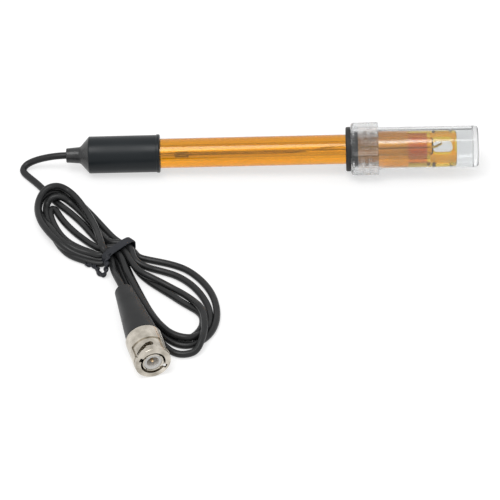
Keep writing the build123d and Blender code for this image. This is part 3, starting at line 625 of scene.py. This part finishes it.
def grain_group():
    """Fine noise as a height, and slow noise as a roughness between two values."""
    inputs = [
        ("Vector", "NodeSocketVector", None), ("Grain", "NodeSocketFloat", 2000.0),
        ("Patches", "NodeSocketFloat", 90.0), ("Smooth", "NodeSocketFloat", 0.3),
        ("Rough", "NodeSocketFloat", 0.5),
    ]
    outputs = [("Height", "NodeSocketFloat"), ("Roughness", "NodeSocketFloat")]
    tree, start, end = group("surface grain", inputs, outputs)
    fine = tree.nodes.new("ShaderNodeTexNoise")
    fine.inputs["Detail"].default_value = 3
    slow = tree.nodes.new("ShaderNodeTexNoise")
    slow.inputs["Detail"].default_value = 2
    spread = tree.nodes.new("ShaderNodeMapRange")
    spread.inputs["From Min"].default_value = noise_low
    spread.inputs["From Max"].default_value = noise_high
    for noise, scale in ((fine, "Grain"), (slow, "Patches")):
        tree.links.new(start.outputs["Vector"], noise.inputs["Vector"])
        tree.links.new(start.outputs[scale], noise.inputs["Scale"])
    tree.links.new(slow.outputs["Fac"], spread.inputs["Value"])
    tree.links.new(start.outputs["Smooth"], spread.inputs["To Min"])
    tree.links.new(start.outputs["Rough"], spread.inputs["To Max"])
    tree.links.new(fine.outputs["Fac"], end.inputs["Height"])
    tree.links.new(spread.outputs["Result"], end.inputs["Roughness"])
    return tree


cloudy = cloudy_group()
grain = grain_group()
print("groups:", cloudy.name, "and", grain.name)

# %% [markdown]
# One function makes the common part of every finish: coordinates, cloudy colour, grain
# and the shader that they feed. Each finish below then sets what is particular to it.

# %% The common part of a finish
bump_distance = 0.1 * mm
no_turn = (0.0, 0.0, 0.0)
no_stretch = (1.0, 1.0, 1.0)


def finish(name, first, second, cloud=120.0, grain_scale=2500.0, patches=90.0,
           smooth=0.35, rough=0.5, bump=0.15, stretch=no_stretch, turn=no_turn):
    """A material with its coordinates, cloudy colour, grain and shader wired together.

    Stretch and turn act on the coordinates of both effects. Returns the material and its
    shader.
    """
    material = bpy.data.materials.new(name)
    material.use_nodes = True
    tree = material.node_tree
    shader = tree.nodes["Principled BSDF"]
    place = tree.nodes.new("ShaderNodeTexCoord")
    mapping = tree.nodes.new("ShaderNodeMapping")
    mapping.inputs["Rotation"].default_value = turn
    mapping.inputs["Scale"].default_value = stretch
    tree.links.new(place.outputs["Object"], mapping.inputs["Vector"])
    colour = tree.nodes.new("ShaderNodeGroup")
    colour.node_tree = cloudy
    colour.inputs["Scale"].default_value = cloud
    colour.inputs["First"].default_value = (*first, 1)
    colour.inputs["Second"].default_value = (*second, 1)
    surface = tree.nodes.new("ShaderNodeGroup")
    surface.node_tree = grain
    surface.inputs["Grain"].default_value = grain_scale
    surface.inputs["Patches"].default_value = patches
    surface.inputs["Smooth"].default_value = smooth
    surface.inputs["Rough"].default_value = rough
    relief = tree.nodes.new("ShaderNodeBump")
    relief.inputs["Strength"].default_value = bump
    relief.inputs["Distance"].default_value = bump_distance
    tree.links.new(mapping.outputs["Vector"], colour.inputs["Vector"])
    tree.links.new(mapping.outputs["Vector"], surface.inputs["Vector"])
    tree.links.new(colour.outputs["Color"], shader.inputs["Base Color"])
    tree.links.new(surface.outputs["Roughness"], shader.inputs["Roughness"])
    tree.links.new(surface.outputs["Height"], relief.inputs["Height"])
    tree.links.new(relief.outputs["Normal"], shader.inputs["Normal"])
    return material, shader


def clear(name, first, second, ior, share=1.0, gloss=0.5, **more):
    """A finish that lets a share of the light through and scatters the rest."""
    material, shader = finish(name, first, second, **more)
    shader.inputs["Transmission Weight"].default_value = share
    shader.inputs["Specular IOR Level"].default_value = gloss
    shader.inputs["IOR"].default_value = ior
    return material


def metal(name, first, second, **more):
    """A finish that is bare metal."""
    material, shader = finish(name, first, second, **more)
    shader.inputs["Metallic"].default_value = 1.0
    return material


def opaque(name, first, second, gloss=0.4, **more):
    """A finish of plastic or rubber, with the strength of its gloss."""
    material, shader = finish(name, first, second, **more)
    shader.inputs["Specular IOR Level"].default_value = gloss
    return material


print("finish helpers ready")

# %% [markdown]
# Base colours are written as light values, not as a picture's values, so the blacks are
# very small numbers. The amber is clear, and takes its depth of colour from light that
# passes both walls of the tube. The guard at the tip is the same plastic, but seen by
# itself in water it looks lighter and yellower, so it has a lighter amber of its own.
# The rubber of the strain relief is wrinkled: its grain is coarse and drawn out along
# the probe.

# %% Finishes of the probe
along_probe = (0.0, probe_tilt, 0.0)
finishes = {
    "amber_plastic": clear(
        "amber_plastic", (0.85, 0.52, 0.004), (0.88, 0.56, 0.006), 1.48, gloss=0.1,
        cloud=60, smooth=0.03, rough=0.09, bump=0.02),
    "guard_amber": clear(
        "guard_amber", (0.97, 0.63, 0.03), (0.99, 0.68, 0.05), 1.4, gloss=0.1,
        cloud=90, smooth=0.05, rough=0.12, bump=0.03),
    "stem_glass": clear(
        "stem_glass", (0.95, 0.96, 0.95), (0.98, 0.98, 0.97), 1.47,
        smooth=0.0, rough=0.03, bump=0.01),
    "gel": clear(
        "gel", (0.95, 0.93, 0.9), (0.98, 0.97, 0.95), 1.34,
        cloud=200, smooth=0.02, rough=0.08, bump=0.02),
    "clear_plastic": clear(
        "clear_plastic", (0.8, 0.81, 0.815), (0.85, 0.857, 0.86), 1.46,
        cloud=70, smooth=0.04, rough=0.12, bump=0.04),
    "platinum": metal(
        "platinum", (0.6, 0.58, 0.55), (0.75, 0.73, 0.7), smooth=0.15, rough=0.3),
    "lead_wire": metal(
        "lead_wire", (0.5, 0.42, 0.34), (0.62, 0.54, 0.45), smooth=0.3, rough=0.5),
    "silver_wire": metal(
        "silver_wire", (0.5, 0.42, 0.32), (0.66, 0.58, 0.46), smooth=0.35, rough=0.6),
    "sleeve_plastic": opaque(
        "sleeve_plastic", (0.62, 0.55, 0.4), (0.7, 0.63, 0.48), smooth=0.4, rough=0.6),
    "junction_ceramic": opaque(
        "junction_ceramic", (0.78, 0.76, 0.72), (0.86, 0.85, 0.82),
        cloud=3000, smooth=0.7, rough=0.9, bump=0.4),
    "potting": opaque(
        "potting", (0.03, 0.03, 0.032), (0.05, 0.05, 0.052), smooth=0.3, rough=0.5),
    "handle_plastic": opaque(
        "handle_plastic", (0.006, 0.009, 0.0115), (0.008, 0.0115, 0.014), gloss=0.25,
        cloud=45, grain_scale=3500, smooth=0.3, rough=0.4, bump=0.05),
    "relief_rubber": opaque(
        "relief_rubber", (0.006, 0.0065, 0.007), (0.03, 0.031, 0.032), gloss=0.5,
        cloud=500, grain_scale=620, smooth=0.25, rough=0.42, bump=1.0, turn=along_probe,
        stretch=(0.5, 1.0, 1.0)),
    "seal_rubber": opaque(
        "seal_rubber", (0.008, 0.008, 0.009), (0.014, 0.014, 0.015), smooth=0.45, rough=0.65),
    "copper": metal(
        "copper", (0.68, 0.3, 0.16), (0.76, 0.38, 0.22), smooth=0.25, rough=0.4),
    "crimp_metal": metal(
        "crimp_metal", (0.5, 0.5, 0.48), (0.62, 0.61, 0.59), smooth=0.25, rough=0.4),
}
print("finishes so far:", len(finishes))

# %% [markdown]
# The plug is nickel-plated, with a warm tint and a gold-coloured pin. Its nickel goes in
# cloudy patches from a dark to a bright colour: painted reflections.
# The jacket of the cable, the boot and the tie are three blacks that differ in gloss.
# The storage liquid is plain water to the eye.

# %% Finishes of the cable and plug
finishes.update({
    "cable_jacket": opaque(
        "cable_jacket", (0.009, 0.0095, 0.01), (0.016, 0.0165, 0.017), gloss=0.32,
        cloud=250, grain_scale=2200, smooth=0.3, rough=0.42, bump=0.12),
    "tie_plastic": opaque(
        "tie_plastic", (0.007, 0.008, 0.012), (0.014, 0.016, 0.022), gloss=0.35,
        cloud=400, smooth=0.4, rough=0.55, bump=0.2),
    "boot_plastic": opaque(
        "boot_plastic", (0.008, 0.0083, 0.009), (0.014, 0.0145, 0.015), gloss=0.32,
        cloud=120, smooth=0.35, rough=0.5, bump=0.1),
    # Painted reflections: the nickel's cloudy patches from dark to bright stand in for the dark and bright places
    # that it mirrors.
    "nickel": metal(
        "nickel", (0.36, 0.33, 0.28), (0.7, 0.65, 0.57),
        cloud=220, smooth=0.13, rough=0.28, bump=0.05),
    "gasket_rubber": opaque(
        "gasket_rubber", (0.012, 0.012, 0.013), (0.02, 0.02, 0.021), smooth=0.5, rough=0.7),
    "insulator_plastic": opaque(
        "insulator_plastic", (0.72, 0.71, 0.68), (0.8, 0.79, 0.77), smooth=0.35, rough=0.5),
    "pin_metal": metal(
        "pin_metal", (0.72, 0.5, 0.28), (0.8, 0.6, 0.38), smooth=0.15, rough=0.3),
})
finishes["liquid"] = clear(
    "storage_liquid", (0.97, 0.98, 0.98), (0.99, 0.99, 0.99), 1.33,
    cloud=60, smooth=0.0, rough=0.02, bump=0.0)


def dress(piece, material):
    """Gives a piece one material in all its slots."""
    if not piece.data.materials:
        piece.data.materials.append(material)
    for index in range(len(piece.data.materials)):
        piece.data.materials[index] = material


for part in record["subparts"]:
    dress(nodes[part["node"]], finishes[part["material_slot"]])
dress(nodes["tip_guard"], finishes["guard_amber"])
dress(cable, finishes["cable_jacket"])
for piece in tie_pieces:
    dress(piece, finishes["tie_plastic"])
dress(gel, finishes["gel"])
dress(liquid, finishes["liquid"])
print("dressed", len(record["subparts"]) + len(tie_pieces) + 3, "pieces")

# %% [markdown]
# ## Bring the scene up to date
#
# The view layer is brought up to date once everything is dressed.

# %% Bring the scene up to date
bpy.context.view_layer.update()
